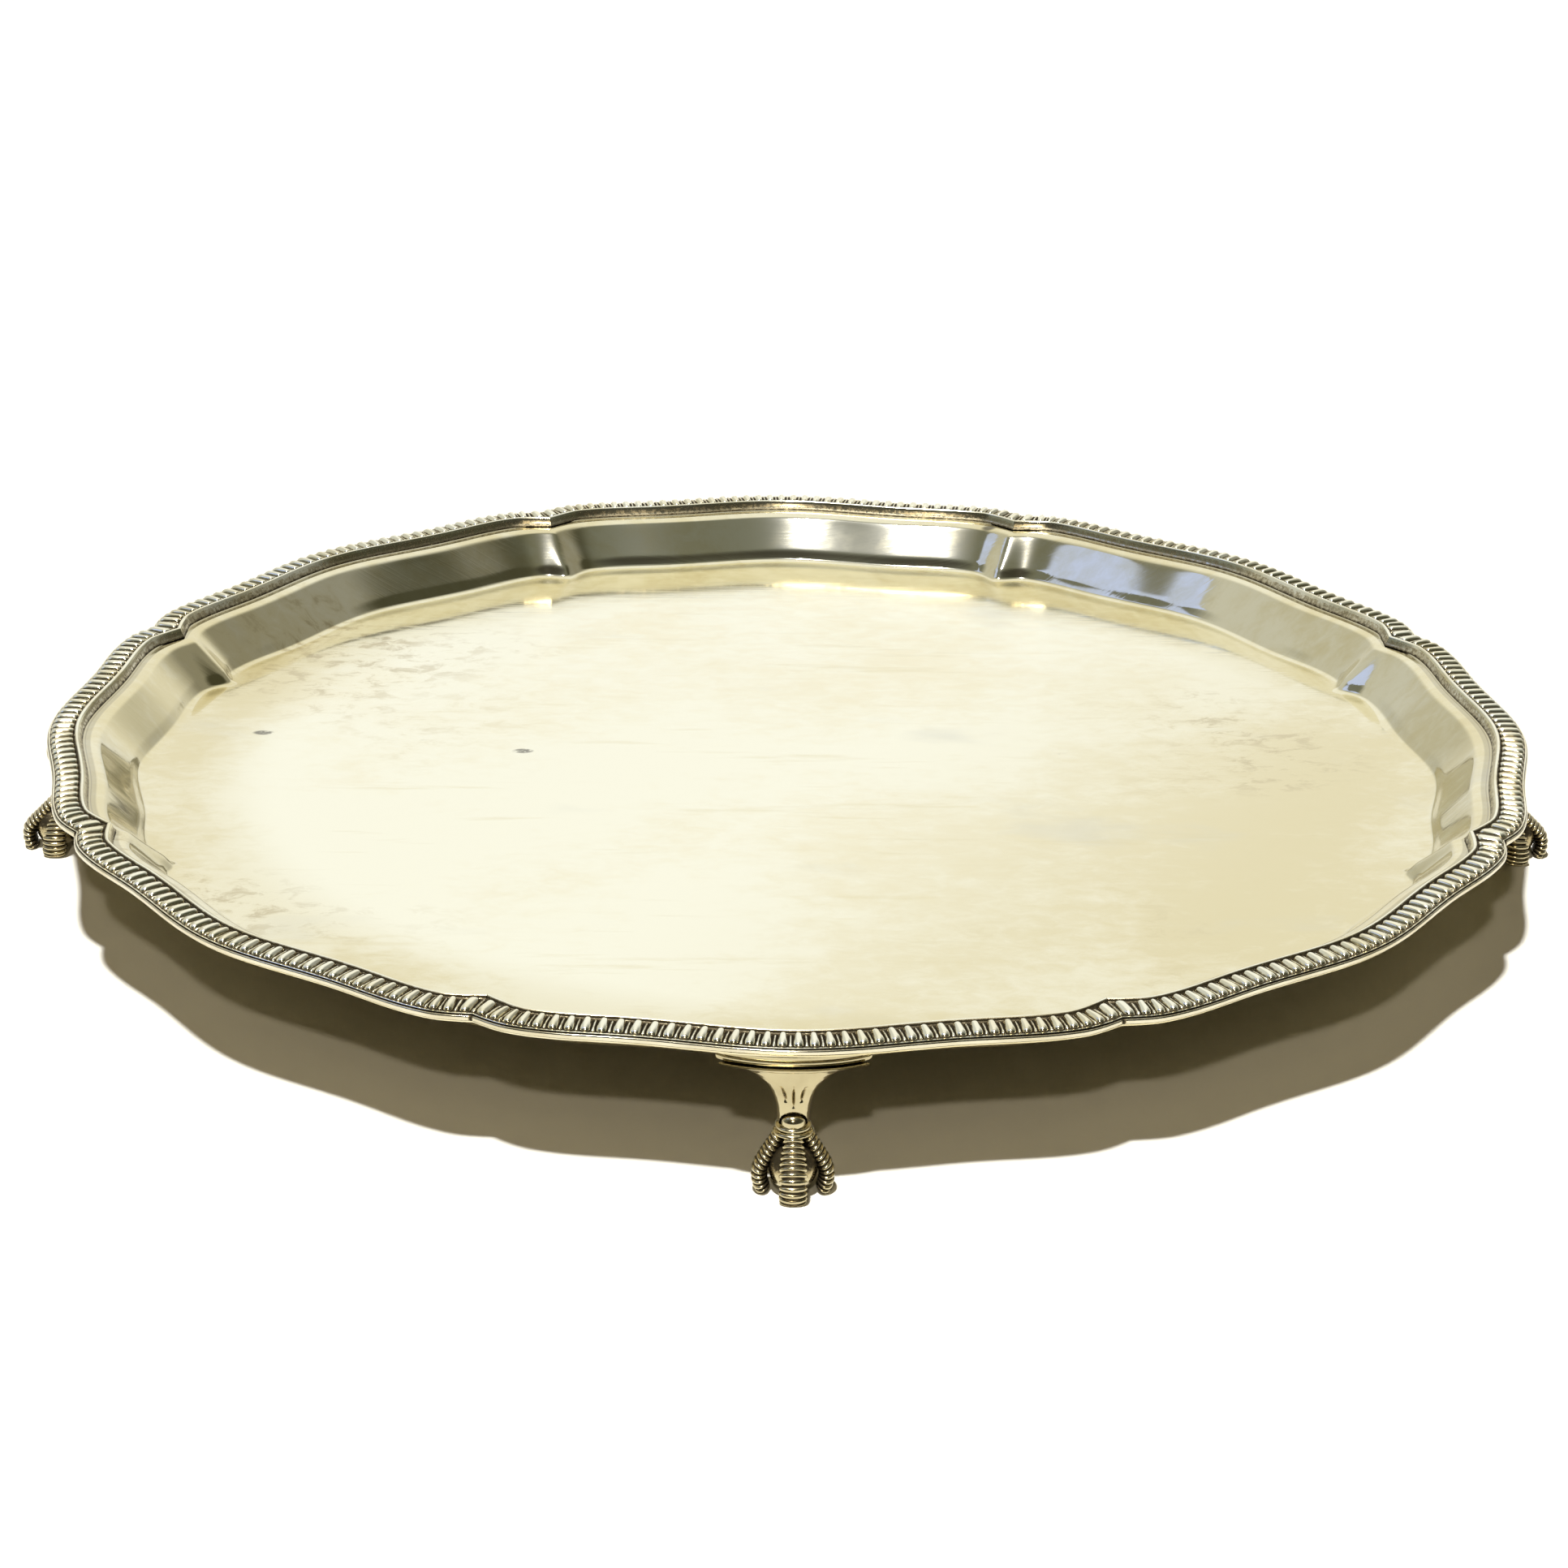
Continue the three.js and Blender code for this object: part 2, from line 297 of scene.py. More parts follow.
def sheet_silver():
    """The raised sheet: worn on the base, polished on the wall, yellower at the rim and the front right, with
    painted shade on its underside and at the flange.
    """
    n = Nodes("sheet_silver")
    radius = n.distance_from_axis()
    clouds = n.noise(n.place, 11.0, 4.0)
    mottle = n.noise(n.stretched((1, 1.5, 1)), 120.0, 5.0, 0.65, 0.4)
    mixed = n.maths("ADD", n.maths("MULTIPLY", clouds, 0.7), n.maths("MULTIPLY", mottle, 0.3))
    streaks = n.noise(n.stretched((14, 120, 30), turn=4), 1.0, 4.0, 0.6)
    edge = n.maths("MAXIMUM", n.ranged(radius, 0.142, 0.168), n.ranged(n.along((1, -0.5, 0)), 0.0, 0.17))
    warm = n.maths("MULTIPLY", edge, n.ranged(mixed, 0.40, 0.60, 0.5, 1.0))
    colour = n.blend(n.ranged(mixed, 0.44, 0.68), SILVER, CREAM)
    colour = n.blend(n.maths("MULTIPLY", warm, 0.90), colour, YELLOW)
    patch = n.noise(n.stretched((1, 1, 1), start=(3.1, 1.7, 0)), 7.0, 3.0)
    brown = n.maths("MULTIPLY", n.ranged(patch, 0.56, 0.72), n.ranged(mottle, 0.5, 0.66))
    colour = n.blend(n.maths("MULTIPLY", brown, n.ranged(radius, 0.07, 0.15, 0.10, 0.60)), colour, BROWN)
    dull = n.noise(n.stretched((1, 1.6, 1), start=(7.3, 4.4, 0)), 16.0, 3.0)
    colour = n.blend(n.ranged(dull, 0.6, 0.78, 0.0, 0.4), colour, GREY)
    colour = n.blend(n.ranged(streaks, 0.6, 0.75, 0.0, 0.35), colour, YELLOW)
    fleck = n.ranged(n.spots(n.stretched((1, 1.7, 1), start=(0.37, 0.11, 0)), 17.0), 0.035, 0.06, 1.0, 0.0)
    fleck = n.maths("MULTIPLY", fleck, n.ranged(mottle, 0.42, 0.5))
    colour = n.blend(n.maths("MULTIPLY", fleck, 0.8), colour, OXIDE_AND_SHADE)
    # painted shade and oxide: each point's marked share darkens towards near black
    colour = n.blend(n.maths("MULTIPLY", n.attribute("oxide_and_shade"), 0.9), colour, OXIDE_AND_SHADE)
    # painted shade: faces turned downwards take a darker tan
    colour = n.blend(n.facing_down(), colour, UNDERSIDE_SHADE)
    n.link(colour, n.shader.inputs["Base Color"])
    n.shader.inputs["Metallic"].default_value = 1.0
    wear = n.ranged(radius, 0.130, 0.176, 0.12, 0.055)
    rough = n.maths("ADD", wear, n.ranged(mottle, 0.35, 0.7, 0.0, 0.018))
    n.link(rough, n.shader.inputs["Roughness"])
    n.shader.inputs["Coat Weight"].default_value = 0.35
    n.shader.inputs["Coat Roughness"].default_value = 0.24
    waves = n.bump(n.noise(n.place, 24.0, 1.0), 0.05, 0.0012)
    fine = n.bump(scratches(n, 4, 0.60), 0.022, 0.0002, waves)
    n.link(n.bump(mottle, 0.010, 0.0003, fine), n.shader.inputs["Normal"])
    return n.material


def cast_silver(name, bright, dull, tarnish, roughness):
    """Cast and polished silver, darkened brown and near black by each point's share: partly oxide in its
    hollows, partly painted shade.
    """
    n = Nodes(name)
    clouds = n.noise(n.place, 60.0, 4.0)
    pits = n.noise(n.place, 900.0, 4.0, 0.7)
    oxide_and_shade = n.attribute("oxide_and_shade")
    colour = n.blend(n.ranged(clouds, 0.35, 0.7), bright, dull)
    colour = n.blend(n.ranged(clouds, 0.5, 0.8, 0.0, tarnish), colour, YELLOW)
    # the share, with pitting, turns brown and near black: oxide in hollows, and painted shade in grooves and
    # on hidden faces
    tarnish_and_shade = n.maths("ADD", oxide_and_shade, n.ranged(pits, 0.3, 0.7, -0.18, 0.18))
    colour = n.blend(n.ranged(tarnish_and_shade, 0.22, 0.60, 0.0, 0.75), colour, BROWN)
    colour = n.blend(n.ranged(tarnish_and_shade, 0.48, 0.88, 0.0, 0.96), colour, OXIDE_AND_SHADE)
    n.link(colour, n.shader.inputs["Base Color"])
    n.shader.inputs["Metallic"].default_value = 1.0
    n.link(n.ranged(tarnish_and_shade, 0.3, 1.0, roughness, 0.55), n.shader.inputs["Roughness"])
    waves = n.bump(n.noise(n.place, 160.0, 2.0), 0.2, 0.0003)
    n.link(n.bump(pits, 0.12, 0.00008, waves), n.shader.inputs["Normal"])
    return n.material


# ------------------------------------------------------------------ the raised tray
def offset_line(points, distance):
    """Moves an open line sideways by a distance, with mitred corners."""
    along = np.diff(points, axis=0)
    along /= np.linalg.norm(along, axis=1)[:, None]
    normals = np.stack([along[:, 1], -along[:, 0]], 1)
    before = np.vstack([normals[:1], normals])
    after = np.vstack([normals, normals[-1:]])
    mitre = before + after
    mitre /= np.linalg.norm(mitre, axis=1)[:, None]
    return points + mitre * (distance / (mitre * after).sum(1))[:, None]


def bezier(a, b, c, steps):
    """Points of a quadratic curve, without its first."""
    t = np.arange(1, steps + 1)[:, None] / steps
    return (1 - t) ** 2 * np.array(a) + 2 * t * (1 - t) * np.array(b) + t ** 2 * np.array(c)


def tray_section():
    """Inset, height and share of oxide and painted shade of the tray's upper side, from the flange to the
    last ring of the base.
    """
    WALL_TOP, WALL_LOW, WALL_FOOT = (14.9, -0.85), (22.7, -8.7), (24.15, -10.75)
    COVE_CORNER = (24.85, BASE_DROP)
    flange = [(1.3, 0.6), (4.0, 0.6), (8.9, 0.6), (10.0, 0.6)]
    steps = [
        (10.25, 0.57), (10.45, 0.44), (10.75, 0.4), (11.7, 0.38), (12.1, 0.35), (12.4, 0.30), (12.7, 0.22),
    ]
    ledge = bezier((12.7, 0.22), (14.0, 0.05), WALL_TOP, 9)
    down_wall = np.array(WALL_LOW) - WALL_TOP
    wall = [tuple(np.array(WALL_TOP) + down_wall * u) for u in np.linspace(0.08, 0.94, 13)]
    wall += [*bezier(wall[-1], WALL_LOW, (23.3, -9.55), 5), WALL_FOOT]
    cove = bezier(WALL_FOOT, COVE_CORNER, (BASE_INSET, BASE_DROP), 12)
    base = [(inset, BASE_DROP) for inset in (27.6, 29, 32, 37, 44, 54, 68, 90, 115, 145, 172)]
    top = np.array([*flange, *steps, *ledge, *wall, *cove, *base])
    oxide_and_shade = np.zeros(len(top))
    at = len(flange)
    # painted shade on the flange where the border stands on it, darker on its step
    oxide_and_shade[2:at + 4] = FLANGE_SHADE
    oxide_and_shade[at + 1] = STEP_SHADE
    return top, oxide_and_shade


def lobe_angles(steps_per_lobe):
    """Angles right round, crowding a little towards the notches."""
    half = steps_per_lobe // 2
    t = np.arange(-half, half) / half
    local = HALF_LOBE * (0.45 * t + 0.55 * np.sin(np.pi / 2 * t))
    return local, (np.arange(LOBES)[:, None] * 2 * HALF_LOBE + local).ravel()


def rounded_notch(angle, inset):
    """Rounds the ridge that each notch makes in the wall: more so towards its foot."""
    SLOPE = (SHOULDER - NOTCH) * (math.pi / 2) / (HALF_LOBE - SHOULDER_ANGLE)
    from_notch = HALF_LOBE - np.abs(angle)
    radius = 0.08 + 0.45 * smooth((inset - 12) / 8)
    return SLOPE * (np.sqrt(from_notch ** 2 + radius ** 2) - from_notch)


def build_tray(material):
    top, top_oxide_and_shade = tray_section()
    under = offset_line(top, SHEET)
    # The underside can't be seen closely, so it has fewer rows than the top.
    keep = np.r_[0:3, 11:len(top):3, len(top) - 1]
    section = np.vstack([top, under[keep][::-1]])
    oxide_and_shade = np.concatenate([top_oxide_and_shade, np.zeros(len(keep))])
    local, turn = lobe_angles(TRAY_STEPS)
    local = np.tile(local, LOBES)[:, None]
    inset, z = section[None, :, 0], section[None, :, 1]
    follow = np.clip((ROUND_FROM - inset) / (ROUND_FROM - LOBED_TO), 0, 1)
    radius = RIM_RADIUS - inset + smooth(follow) * (outline_offset(local) + rounded_notch(local, inset))
    on_wall = smooth((inset - 13) / 3) * smooth((BASE_INSET + 1 - inset) / 3)
    radius = radius + on_wall * ripple(turn[:, None], inset, SEED, WALL_RIPPLE)
    crease = np.exp(-((HALF_LOBE - np.abs(local)) / CREASE_WIDTH) ** 2)
    stands_out = np.clip((inset - CREASE_FROM) / (CREASE_FULL - CREASE_FROM), 0, 1)
    stands_out = stands_out * smooth((CREASE_TO - inset) / (CREASE_TO - BASE_INSET))
    radius = radius - CREASE * crease * stands_out
    turn = np.radians(turn)[:, None]
    columns, rows = turn.shape[0], section.shape[0]
    points = np.stack([radius * np.sin(turn), -radius * np.cos(turn), RIM_Z + z + 0 * radius], -1)
    points = points.reshape(-1, 3).tolist()
    faces = grid_faces(columns, rows, True, False)
    edge = [(i * rows, (i + 1) % columns * rows) for i in range(columns)]
    faces += [[a, a + rows - 1, b + rows - 1, b] for a, b in edge]
    centre_row = len(top) - 1
    for row, height in ((centre_row, BASE_DROP), (centre_row + 1, BASE_DROP - SHEET)):
        points.append([0, 0, RIM_Z + height])
        hub = len(points) - 1
        for i in range(columns):
            a, b = i * rows + row, (i + 1) % columns * rows + row
            faces.append([a, b, hub] if row == centre_row else [b, a, hub])
    faces = [f for f in faces if not joins_hub_rows(f, rows, centre_row)]
    oxide_and_shade = np.concatenate([np.tile(oxide_and_shade, columns), [0, 0]])
    return make_piece("salver_tray", points, faces, oxide_and_shade, material)


def joins_hub_rows(face, rows, centre_row):
    """True for the quads that would join the upper and lower sides near the axis."""
    if len(face) != 4 or face[1] % rows != face[0] % rows:
        return False
    return face[0] % rows == centre_row


# ------------------------------------------------------------------ border and edge wire
GADROONS = 41               # in each length
GADROON_HEIGHT = 1.25
GADROON_BASE = 2.0          # height of the floor between the ridges
GADROON_OUTER, GADROON_INNER = 0.95, 7.3
GADROON_ROWS = np.array([0, 0.03, 0.08, 0.15, 0.25, 0.38, 0.52, 0.66, 0.79, 0.88, 0.94, 0.98, 1.0])
RIB_SHARES = np.array([0, 0.27, 0.52, 0.75, 0.91, 1.0])
FAN_ANGLE = 1.7             # near a notch the ribs fan out from the mitre over this angle
NOTCH_GAP = 0.05            # each length stops this far short of the notch
WIRE_WAVER = 0.03           # unevenness of the edge wire, sideways and in height
WIRE_WAVE = 0.02
WIRE_LIFT = 0.03            # raised a little to allow for that


def outline_frame(angle):
    """Outline points, inward normals and radial directions at angles from the lobe's centre."""
    STEP = 1e-3
    def at(a):
        radius = RIM_RADIUS + outline_offset(a)
        return np.stack([radius * np.sin(np.radians(a)), -radius * np.cos(np.radians(a))], -1)
    inside = np.clip(angle, -HALF_LOBE + STEP, HALF_LOBE - STEP)
    along = at(inside + STEP / 2) - at(inside - STEP / 2)
    along /= np.linalg.norm(along, axis=-1)[..., None]
    normal = np.stack([-along[..., 1], along[..., 0]], -1)
    radial = np.stack([-np.sin(np.radians(angle)), np.cos(np.radians(angle))], -1)
    return at(angle), normal, radial


def mitred(angle, inset):
    """Plan points at an inset, square to the outline and mitred towards each notch."""
    outer, normal, radial = outline_frame(angle)
    from_notch = HALF_LOBE - np.abs(angle)
    share = (1 - smooth(from_notch / FAN_ANGLE))[..., None]
    aim = share * radial + (1 - share) * normal
    aim /= np.linalg.norm(aim, axis=-1)[..., None]
    reach = (inset / (aim * normal).sum(-1))[..., None]
    built = np.clip((inset - MITRE_FROM) / (MITRE_TO - MITRE_FROM), 0, 1)
    point = MITRE_POINT * built * (1 - np.sin(np.pi / 2 * np.clip(from_notch / MITRE_ANGLE, 0, 1)))
    return outer + aim * reach + radial * point[..., None]


def angle_at(share):
    """The angle at a share, 0 to 1, of a lobe's length, measured along the middle of the border."""
    limit = HALF_LOBE - math.degrees(NOTCH_GAP / RIM_RADIUS)
    fine = np.linspace(-limit, limit, 4001)
    radius = RIM_RADIUS - 4 + outline_offset(fine)
    x, y = radius * np.sin(np.radians(fine)), radius * np.cos(np.radians(fine))
    length = np.concatenate([[0], np.cumsum(np.hypot(np.diff(x), np.diff(y)))])
    return np.interp(share, length / length[-1], fine)


def gadroon_lines(x):
    """For a row at a share x of the band: each line's place in the pitch, and its part of the height.

    A wide rounded ridge stands in the middle of the pitch, with half of a thin reed at each side of it."""
    wide = (0.325 - 0.045 * smooth((x - 0.2) / 0.7)) * math.sqrt(max(1 - (1 - min(x / 0.17, 1)) ** 2, 0.02))
    wide *= math.sqrt(max(1 - max((x - 0.9) / 0.1, 0) ** 2, 0.03))
    thin = 0.075 + 0.045 * math.exp(-((x - 0.1) / 0.08) ** 2) + 0.02 * x
    thin *= math.sqrt(max(1 - (1 - min(x / 0.06, 1)) ** 2, 0.05))
    reed_height = 0.42 + 0.22 * math.exp(-((x - 0.1) / 0.09) ** 2)
    ridge = [(wide * s, math.sqrt(1 - s * s)) for s in RIB_SHARES]
    floor = [((wide + 0.5 - thin) / 2, -0.16)]
    reed = [(0.5 - thin, 0.02), (0.5 - thin * 0.5, 0.86 * reed_height), (0.5, reed_height)]
    half = ridge + floor + reed
    return [(-t, h) for t, h in reversed(half[1:])] + half


def gadroon_height(x):
    """Height of the ridges above their floor, and the floor's own height, at a share x of the band."""
    rise = math.sqrt(max(1 - (1 - min(x / 0.30, 1)) ** 2, 0))
    fall = math.sqrt(max(1 - (max(x - 0.80, 0) / 0.20) ** 2, 0))
    return GADROON_HEIGHT * rise * (0.30 + 0.70 * fall), GADROON_BASE + 0.2 * smooth(x / 0.5)


def border_rows():
    """The plain rows of the border's section, in order, as inset, height and share of oxide and painted
    shade.
    """
    # third numbers: painted shade behind and under the lip, over the wire; oxide and painted shade in the
    # groove; painted shade down the inner slope
    lip = [(1.35, 0.64, 0.6), (1.3, 1.80, 1.0), (0.64, 1.82, 1.0), (0.52, 1.86, 0.6), (0.46, 1.95, 0.0),
           (0.55, 2.04, 0.0), (0.78, 2.04, 0.5)]
    groove = [(7.42, 2.42, 1.0), (7.56, 2.5, 0.8)]
    turns = np.radians([200, 170, 140, 110, 80, 50, 20, -10])
    # painted shade on the bead's outer side, towards the groove
    shade = (1.0, 1.0, 0.85, 0.15, 0.0, 0.0, 0.0, 0.0)
    bead = [(8.14 + 0.56 * math.cos(t), 2.78 + 0.54 * math.sin(t), r) for t, r in zip(turns, shade)]
    slope = [(8.86, 2.35, 0.45), (9.08, 1.75, 0.5), (9.4, 1.2, 0.55), (9.72, 0.92, 0.7), (9.8, 0.64, 0.9)]
    return lip, groove + bead + slope


def build_border(lobe, material):
    lip, inner = border_rows()
    even = gadroon_lines(0.5)
    lines = len(even) - 1
    rows = [(d, [t for t, _ in even], [z] * (lines + 1), [r] * (lines + 1)) for d, z, r in lip]
    for x in GADROON_ROWS:
        height, floor = gadroon_height(x)
        found = gadroon_lines(x)
        # painted shade, with oxide, low between the ridges and at the two ends of each gadroon
        deep = [min(1.0, max(0.0, 1.05 - 1.6 * max(h, 0))) for _, h in found]
        ends = 1 - smooth(min(x / 0.06, 1)) if x < 0.5 else smooth((x - 0.93) / 0.07)
        rows.append((
            GADROON_OUTER + x * (GADROON_INNER - GADROON_OUTER),
            [t for t, _ in found],
            [floor + height * h for _, h in found],
            [max(r, 0.8 * ends) for r in deep],
        ))
    rows += [(d, [t for t, _ in even], [z] * (lines + 1), [r] * (lines + 1)) for d, z, r in inner]
    share, height, oxide_and_shade = [], [], []
    for _, places, heights, oxides_and_shades in rows:
        whole = [(g + 0.5 + t) / GADROONS for g in range(GADROONS) for t in places[:-1]]
        share.append(whole + [1.0])
        height.append(heights[:-1] * GADROONS + heights[-1:])
        oxide_and_shade.append(oxides_and_shades[:-1] * GADROONS + oxides_and_shades[-1:])
    share, height, oxide_and_shade = (np.array(a).T for a in (share, height, oxide_and_shade))
    inset = np.array([row[0] for row in rows])[None, :] + 0 * share
    plan = mitred(angle_at(share), inset)
    points = np.concatenate([plan, (RIM_Z + height)[..., None]], -1)
    return swept_length(f"gadroon_border_{lobe + 1}", turned(points, lobe * 2 * HALF_LOBE), oxide_and_shade, material)


def swept_length(name, points, oxide_and_shade, material):
    """A closed length from a grid of section points, capped at both mitres."""
    columns, rows = points.shape[:2]
    faces = grid_faces(columns, rows, False, True)
    faces.append(list(range(rows)))
    faces.append([(columns - 1) * rows + r for r in reversed(range(rows))])
    return make_piece(name, points.reshape(-1, 3), faces, oxide_and_shade.ravel(), material)


def build_wire(lobe, material):
    section = np.array([
        (0.95, 0.02), (0.62, 0.0), (0.42, 0.03), (0.2, 0.24), (0.05, 0.46), (0.0, 0.6), (0.0, 1.0),
        (0.03, 1.22), (0.12, 1.38), (0.28, 1.48), (0.5, 1.52), (0.95, 1.52),
    ])
    # painted shade under the wire and on its top where the border's lip covers it
    dark = np.array([0.6, 0.1, 0, 0, 0, 0, 0, 0, 0.1, 0.5, 0.9, 1.0])
    share = (1 - np.cos(np.pi * np.linspace(0, 1, 221)[:, None])) / 2
    inset = section[None, :, 0] + 0 * share
    angle = angle_at(share) + 0 * inset
    around = angle + lobe * 2 * HALF_LOBE
    plan = mitred(angle, inset + ripple(around, 0 * inset, SEED + 3, WIRE_WAVER))
    height = RIM_Z + section[None, :, 1] + ripple(around, 0 * inset, SEED + 4, WIRE_WAVE) + WIRE_LIFT
    points = np.concatenate([plan, height[..., None]], -1)
    # a dark joint at each mitre, added to that painted shade
    at_mitre = 1 - smooth((HALF_LOBE - np.abs(angle) - 0.05) / 0.22)
    oxide_and_shade = np.clip(dark[None, :] + 0.9 * at_mitre, 0, 1)
    return swept_length(f"plain_edge_{lobe + 1}", turned(points, lobe * 2 * HALF_LOBE), oxide_and_shade, material)


# ------------------------------------------------------------------ feet
LEG_RADIUS = 202.5
FRONT_FOOT_ASIDE = -1.0     # the front foot is soldered a little left of the lobe's centre
PAD_LOW, PAD_HIGH = box_mm("foot_pad_front")
BALL_LOW, BALL_HIGH = box_mm("foot_ball_front")
BALL_CENTRE = (BALL_LOW + BALL_HIGH) / 2 + Vector((0, LEG_RADIUS, 0))
BALL_RADIUS = (BALL_HIGH.z - BALL_LOW.z) / 2

# Height, half width and half depth of the sleeve and wings.
SLEEVE_STATIONS = np.array([
    (16.4, 3.55, 3.6), (17.2, 3.85, 3.8), (19.3, 3.85, 3.7), (21.5, 4.1, 3.7), (23.6, 4.65, 3.75),
    (25.4, 5.4, 3.85), (27.0, 6.5, 3.95), (29.0, 8.8, 4.1), (30.4, 11.7, 4.15), (31.2, 15.0, 4.15),
    (31.7, 17.8, 4.1),
])
RINGS = ((15.75, 0.62, 4.45), (14.35, 0.75, 5.05))    # centre height, half height, half width
CORE_HALF_WIDTH = 3.6
ARCH_HALF_WIDTH = 3.35      # the opening in the sleeve's front that shows the knuckle
ARCH_SPRING = 16.9
ARCH_RISE = 3.7
ARCH_DEPTH = 1.7
KNUCKLE_FORWARD, KNUCKLE_Z = -1.6, 17.3
KNUCKLE_HALF = (3.0, 2.75, 2.35)    # half width, depth and height
PAD_RISE = 0.28             # the pad goes this far past its solid, closing most of the seam above it


def column_size(z):
    """Half width, half depth and share of painted shade of the leg at heights z."""
    wide = np.interp(z, SLEEVE_STATIONS[:, 0], SLEEVE_STATIONS[:, 1])
    deep = np.interp(z, SLEEVE_STATIONS[:, 0], SLEEVE_STATIONS[:, 2])
    oxide_and_shade = np.zeros_like(z)
    below = z < SLEEVE_STATIONS[0, 0]
    wide = np.where(below, CORE_HALF_WIDTH, wide)
    deep = np.where(below, CORE_HALF_WIDTH, deep)
    # painted shade on the core below the sleeve, taken off where the rings bulge out
    oxide_and_shade = np.where(below, 1.0, oxide_and_shade)
    for centre, half, width in RINGS:
        bulge = np.sqrt(np.clip(1 - ((z - centre) / half) ** 2, 0, 1))
        wide = np.maximum(wide, CORE_HALF_WIDTH + (width - CORE_HALF_WIDTH) * bulge)
        deep = np.maximum(deep, CORE_HALF_WIDTH + (width - CORE_HALF_WIDTH) * bulge)
        oxide_and_shade = np.minimum(oxide_and_shade, 1 - bulge * 1.3)
    return wide, deep, np.clip(oxide_and_shade, 0, 1)


def carving(x, z):
    """Depth of the three carved grooves on the leg's front, at x across and z up."""
    depth = np.zeros_like(x)
    # Each groove's lowest and highest point, its place across at both, and its half width.
    grooves = ((21.6, 27.6, -0.05, -0.05, 0.34), (23.0, 27.4, -1.9, -3.1, 0.42), (23.0, 27.4, 1.8, 3.0, 0.42))
    for low, high, at_low, at_high, wide in grooves:
        up = np.clip((z - low) / (high - low), 0, 1)
        centre = at_low + (at_high - at_low) * up ** 2
        leaf = np.sin(np.pi * up) ** 0.7
        depth += 0.8 * leaf * np.exp(-((x - centre) / wide) ** 2)
    return depth


def build_column():
    """The leg's winged sleeve, arched open at its front, and the two rings below it."""
    z = np.concatenate([
        np.linspace(13.1, 16.4, 34), np.linspace(16.5, 22.0, 46), np.linspace(22.12, 28.2, 46),
        np.linspace(28.4, 31.7, 18),
    ])
    t = np.linspace(0, 2 * np.pi, 145)[:-1]
    turn = t - 0.28 * np.sin(2 * t)
    wide, deep, oxide_and_shade = column_size(z)
    point = 1 + 0.5 * smooth((z - 27) / 4)
    x = wide[None, :] * np.cos(turn)[:, None]
    side = np.sin(turn)[:, None]
    y = -deep[None, :] * np.sign(side) * np.abs(side) ** point[None, :]
    height = z[None, :] + 0 * x
    front = smooth((-y / deep[None, :] - 0.05) / 0.35)
    arch_top = ARCH_SPRING + ARCH_RISE * np.sqrt(np.clip(1 - (x / ARCH_HALF_WIDTH) ** 2, 0, 1))
    opening = front * smooth((arch_top - height) / 0.22 + 0.5) * smooth((height - 16.6) / 0.25)
    opening = np.where(np.abs(x) < ARCH_HALF_WIDTH, opening, 0)
    cut = carving(x, height) * smooth((-y - 1.5) / 1.0)
    y = y + ARCH_DEPTH * opening + cut
    lip = 0.25 * smooth((height - 31.0) / 0.35)
    y = y - lip * np.sign(side)
    # painted shade on the core and inside the arch's opening; oxide and painted shade in the carved grooves
    dark = np.clip(oxide_and_shade[None, :] + 0.95 * opening + 1.15 * cut, 0, 1)
    points = np.stack([x, y, height], -1)
    columns, rows = x.shape
    faces = grid_faces(columns, rows, True, False)
    faces.append([i * rows for i in reversed(range(columns))])
    faces.append([i * rows + rows - 1 for i in range(columns)])
    return points.reshape(-1, 3), faces, dark.ravel()


def build_knuckle():
    """The rounded knuckle inside the sleeve's arch."""
    across, around = np.linspace(0, np.pi, 41)[1:-1], np.linspace(0, 2 * np.pi, 65)[:-1]
    a, u = np.meshgrid(around, across, indexing="ij")
    half_width, half_depth, half_height = KNUCKLE_HALF
    x = half_width * np.sin(u) * np.cos(a)
    y = KNUCKLE_FORWARD + half_depth * np.sin(u) * np.sin(a)
    z = KNUCKLE_Z + half_height * np.cos(u)
    points = np.stack([x, y, z], -1)
    columns, rows = x.shape
    faces = [f[::-1] for f in grid_faces(columns, rows, True, False)]
    faces.append([i * rows for i in range(columns)])
    faces.append([i * rows + rows - 1 for i in reversed(range(columns))])
    # painted shade on the knuckle's top, under the arch, and at its foot above the rings
    dark = 0.95 * smooth((z - 18.9) / 0.5) + 0.8 * smooth((15.9 - z) / 0.5)
    return points.reshape(-1, 3), faces, dark.ravel()


# A claw's centreline: distance from the foot's axis, the axis's own shift outwards, and height.
CLAW_STATIONS = np.array([
    (2.6, 0.2, 14.6), (5.3, 1.5, 10.4), (7.6, 2.6, 6.8), (8.05, 3.0, 4.6), (7.7, 3.2, 2.2), (6.7, 3.3, -0.2),
])
CLAW_RIBS = 13
RIB_STEPS = 10


def curve_through(points, share):
    """A Catmull-Rom curve through points, at shares 0 to 1 of its length."""
    p = np.vstack([2 * points[0] - points[1], points, 2 * points[-1] - points[-2]])
    def at(u):
        i = np.clip(u.astype(int), 0, len(points) - 2)
        f = (u - i)[:, None]
        a, b, c, d = p[i], p[i + 1], p[i + 2], p[i + 3]
        square, cube = (2 * a - 5 * b + 4 * c - d) * f ** 2, (3 * b - a - 3 * c + d) * f ** 3
        return 0.5 * (2 * b + (c - a) * f + square + cube)
    u = np.linspace(0, len(points) - 1, 600)
    line = at(u)
    length = np.concatenate([[0], np.cumsum(np.linalg.norm(np.diff(line, axis=0), axis=1))])
    return at(np.interp(share, length / length[-1], u))


